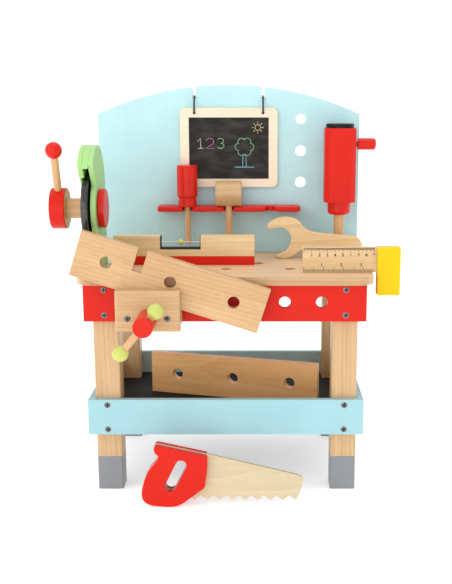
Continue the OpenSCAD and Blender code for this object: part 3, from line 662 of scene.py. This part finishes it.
CHALK_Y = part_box("chalkboard_frame")[0].y / MM
BACK_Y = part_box("backboard")[0].y / MM
CORD_X, CORD_R, HOLE_Z, BOARD_T = 48.5, 1.25, 486.7, 9
BOARD_TOP_Z, SLOT_DEPTH = 485 + 40, 17.6
SLOT_Z = BOARD_TOP_Z - SLOT_DEPTH + CORD_R + 0.6
FRONT_Y = CHALK_Y - CORD_R - 0.4
BEHIND_Y = BACK_Y + BOARD_T + CORD_R + 0.7
HALF_ROUTE = [
    (CORD_X, CHALK_Y + 4.5, HOLE_Z), (CORD_X, CHALK_Y + 1, HOLE_Z),
    (CORD_X, CHALK_Y - 1.2, HOLE_Z + 0.8), (CORD_X, FRONT_Y, HOLE_Z + 3),
    (CORD_X, FRONT_Y + 0.3, HOLE_Z + 7), (CORD_X, FRONT_Y + 1.5, HOLE_Z + 11.5),
    (CORD_X, FRONT_Y + 3, HOLE_Z + 16), (CORD_X, BACK_Y - 2.6, SLOT_Z - 3.4),
    (CORD_X, BACK_Y - 1.6, SLOT_Z - 0.3),
    (CORD_X, BACK_Y + 1.2, SLOT_Z + 0.6), (CORD_X, BACK_Y + 5, SLOT_Z + 0.7),
    (CORD_X, BACK_Y + BOARD_T, SLOT_Z + 0.1), (CORD_X - 0.6, BEHIND_Y, SLOT_Z - 1.5),
    (CORD_X - 4, BEHIND_Y, SLOT_Z - 4), (CORD_X - 11, BEHIND_Y, SLOT_Z - 6.5),
    (CORD_X - 22, BEHIND_Y, SLOT_Z - 9.5), (CORD_X - 34, BEHIND_Y, SLOT_Z - 12),
]
route = [Vector((-x, y, z)) * MM for x, y, z in HALF_ROUTE]
route.append(Vector((0, BEHIND_Y, SLOT_Z - 13.5)) * MM)
route += [Vector(p) * MM for p in reversed(HALF_ROUTE)]


def smooth_path(points, steps):
    """Catmull-Rom points through a route."""
    ends = [2 * points[0] - points[1]] + points + [2 * points[-1] - points[-2]]
    path = []
    for a, b, c, d in zip(ends, ends[1:], ends[2:], ends[3:]):
        for i in range(steps):
            t = i / steps
            path.append(0.5 * (2 * b + (c - a) * t + (2 * a - 5 * b + 4 * c - d) * t * t
                               + (3 * b - a - 3 * c + d) * t ** 3))
    return path + [points[-1]]


cord_path = smooth_path(route, 6)
cord_curve = bpy.data.curves.new("hanging_cord.line", "CURVE")
cord_curve.dimensions = "3D"
cord_curve.bevel_depth = CORD_R * MM
cord_curve.bevel_resolution = 4
cord_curve.use_fill_caps = True
line = cord_curve.splines.new("POLY")
line.points.add(len(cord_path) - 1)
for point, place in zip(line.points, cord_path):
    point.co = (*place, 1)
cord = bpy.data.objects.new("hanging_cord.braid", cord_curve)
bpy.context.scene.collection.objects.link(cord)
settle(cord, "chalkboard", braid("cord_braid"), ["hanging_cord"])

# ---- chalk drawing, of our own design: three numerals, a sun and a tree

slate_low, slate_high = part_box("chalkboard_slate")
slate_middle = (slate_low + slate_high) / 2


def arc(cx, cz, rx, rz, start, end, count=14):
    return [(cx + rx * math.cos(math.radians(start + (end - start) * i / count)),
             cz + rz * math.sin(math.radians(start + (end - start) * i / count)))
            for i in range(count + 1)]


def strokes(name, colour, lines, width=0.95):
    """Flat chalk lines. Each line is a list of (x, z) in mm from the middle of the slate."""
    curve = bpy.data.curves.new(name, "CURVE")
    curve.dimensions = "3D"
    curve.bevel_depth = width / 2 * MM
    curve.bevel_resolution = 2
    curve.use_fill_caps = True
    for points in lines:
        spline = curve.splines.new("POLY")
        spline.points.add(len(points) - 1)
        for i, (point, (x, z)) in enumerate(zip(spline.points, points)):
            point.co = (x * MM, 0, z * MM, 1)
            point.radius = 0.8 + 0.25 * math.sin(2.3 * i + x)
    obj = bpy.data.objects.new(name, curve)
    bpy.context.scene.collection.objects.link(obj)
    obj.location = (slate_middle.x, slate_low.y - 0.02 * MM, slate_middle.z)
    obj.scale = (1, 0.3, 1)
    bpy.context.view_layer.update()
    made = baked(obj)
    made.data.transform(made.matrix_world)
    made.matrix_world.identity()
    made.name = name
    return settle(made, "chalkboard", chalk(name + "_chalk", colour))


# Schoolbook numerals on one baseline, a round sun with even rays and a tree with an even crown
strokes("chalk_one", srgb(232, 226, 236), [[(-44, 10), (-40, 14), (-40, 0)], [(-44, 0), (-36, 0)]])
strokes("chalk_two", srgb(226, 122, 188), [arc(-27, 9, 5.5, 5, 165, -40) + [(-33, 0), (-21, 0)]])
strokes("chalk_three", srgb(160, 212, 172), [
    arc(-12, 10.5, 4.5, 3.5, 150, -90) + arc(-12, 3.5, 5, 3.5, 90, -150)])
SUN_X, SUN_Z, SUN_R = 41, 29, 4
strokes("chalk_sun", srgb(240, 220, 160), [arc(SUN_X, SUN_Z, SUN_R, SUN_R, 0, 360, 24)] + [
    [(SUN_X + reach * math.cos(math.radians(angle)), SUN_Z + reach * math.sin(math.radians(angle)))
     for reach in (1.4 * SUN_R, 2.1 * SUN_R)]
    for angle in range(0, 360, 45)], 1.0)
TREE_X, CROWN_Z, LOBE = 22, 2, 8
strokes("chalk_tree_crown", srgb(150, 205, 165), [
    arc(TREE_X + LOBE * math.cos(math.radians(angle)), CROWN_Z + LOBE * math.sin(math.radians(angle)),
        5.2, 5.2, angle - 88, angle + 88) for angle in range(0, 360, 60)], 1.0)
strokes("chalk_tree_trunk", srgb(140, 196, 226), [
    [(TREE_X - 2, -8), (TREE_X - 2.6, -26)], [(TREE_X + 2, -8), (TREE_X + 2.6, -26)],
    [(TREE_X - 14, -26.5), (TREE_X + 14, -26.5)]], 1.0)

# ---- ruler marks

ruler_low, ruler_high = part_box("square_ruler")
MARK_Y0, MARK_Y1 = ruler_low.y - 0.07 * MM, ruler_low.y + 0.1 * MM
MARGIN, DIGIT_H, INCH = 0.9 * MM, 3.9 * MM, 25.4 * MM


TICK_HALF = 0.3 * MM


def tick(shape, x, z0, z1):
    left, right = x - TICK_HALF, x + TICK_HALF
    prism(shape, [(left, z0), (right, z0), (right, z1), (left, z1)], MARK_Y0, MARK_Y1)


def digit(numeral, x, z):
    """A printed numeral as a mesh, its middle at x and its foot at z."""
    curve = bpy.data.curves.new("digit", "FONT")
    curve.body = numeral
    curve.size = DIGIT_H * 1.4
    curve.extrude = 0.08 * MM
    curve.offset = 0.16 * MM
    curve.align_x = "CENTER"
    obj = bpy.data.objects.new("digit", curve)
    bpy.context.scene.collection.objects.link(obj)
    obj.location = (x, ruler_low.y + 0.01 * MM, z)
    obj.rotation_euler = (math.radians(90), 0, 0)
    bpy.context.view_layer.update()
    made = baked(obj)
    made.data.transform(made.matrix_world)
    return made


marks = bmesh.new()
zero_x = ruler_low.x + 1.6 * MM
top_z, foot_z = ruler_high.z - MARGIN, ruler_low.z + MARGIN
for mm in range(0, 91):
    reach = 5.4 if mm % 10 == 0 else 4.2 if mm % 5 == 0 else 3.0
    tick(marks, zero_x + mm * MM, top_z - reach * MM, top_z)
for sixteenth in range(0, 57):
    reach = 6.0 if sixteenth % 16 == 0 else 4.6 if sixteenth % 8 == 0 else 3.0
    tick(marks, zero_x + sixteenth * INCH / 16, foot_z, foot_z + reach * MM)
for cm in range(1, 10):
    number = digit(str(cm), zero_x + cm * 10 * MM, ruler_high.z - 12.2 * MM)
    marks.from_mesh(number.data)
    bpy.data.objects.remove(number)
for inch in range(1, 4):
    number = digit(str(inch), zero_x + inch * INCH - 2.6 * MM, ruler_low.z + 8 * MM)
    marks.from_mesh(number.data)
    bpy.data.objects.remove(number)
settle(new_object("ruler_marks", marks), "try_square", ink("ruler_ink", srgb(30, 20, 14)))

# ---- the black lining of the level's window

WINDOW_X, WINDOW_W, WINDOW_D, LINING_T, BEAD_TRAVEL = -0.062, 0.054, 0.018, 1.6 * MM, 0.022

level_low, level_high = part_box("level_body")
bead_low, bead_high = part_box("level_bead")
# The lining's ends are thin, so that the bead keeps clear of them at both ends of its travel
end_t = WINDOW_W / 2 - BEAD_TRAVEL - (bead_high.x - bead_low.x) / 2 - 0.2 * MM
left_x, right_x = WINDOW_X - WINDOW_W / 2, WINDOW_X + WINDOW_W / 2
window_z, lining_z = level_high.z - WINDOW_D, level_high.z - 0.4 * MM
u_shape = bmesh.new()
prism(u_shape, [
    (left_x, window_z), (right_x, window_z), (right_x, lining_z), (right_x - end_t, lining_z),
    (right_x - end_t, window_z + LINING_T), (left_x + end_t, window_z + LINING_T),
    (left_x + end_t, lining_z), (left_x, lining_z)], level_low.y + 0.3 * MM, level_high.y - 0.3 * MM)
settle(new_object("level_lining", finish_shape(u_shape)), "level",
       paint("level_lining_black", srgb(30, 30, 32), "x", 91, 0.5, 0.0))

# ---------------------------------------------------------------- floor and light

floor_shape = bmesh.new()
bmesh.ops.create_circle(floor_shape, cap_ends=True, radius=9, segments=96)
floor = new_object("floor", floor_shape)
floor.location.z = -0.0004
floor_finish = Finish("floor_white", 0.7)
speck = floor_finish.noise(floor_finish.position, 30, 2.0)
floor_finish.shader.inputs["Emission Strength"].default_value = 0.4
floor_colour = floor_finish.mix(speck, (0.965, 0.965, 0.965, 1), (0.985, 0.985, 0.985, 1))
floor.data.materials.append(floor_finish.done(floor_colour))

world = bpy.data.worlds.new("studio")
world.use_nodes = True
background = world.node_tree.nodes["Background"]
background.inputs["Color"].default_value = (1, 1, 1, 1)
background.inputs["Strength"].default_value = 1.03
bpy.context.scene.world = world


def softbox(name, place, target, size, power):
    light = bpy.data.lights.new(name, "AREA")
    light.shape = "DISK"
    light.size = size
    light.energy = power
    obj = bpy.data.objects.new(name, light)
    obj.location = place
    obj.rotation_euler = (Vector(target) - Vector(place)).to_track_quat("-Z", "Y").to_euler()
    bpy.context.scene.collection.objects.link(obj)


softbox("key", (-2.0, -1.5, 1.5), (0, 0.1, 0.3), 1.6, 13)
softbox("front", (-0.7, -3.0, 0.6), (0, 0, 0.25), 2.2, 13)
softbox("top", (0.1, 0.1, 2.6), (0, 0, 0.25), 2.0, 14)
bpy.context.scene.view_settings.view_transform = "Standard"
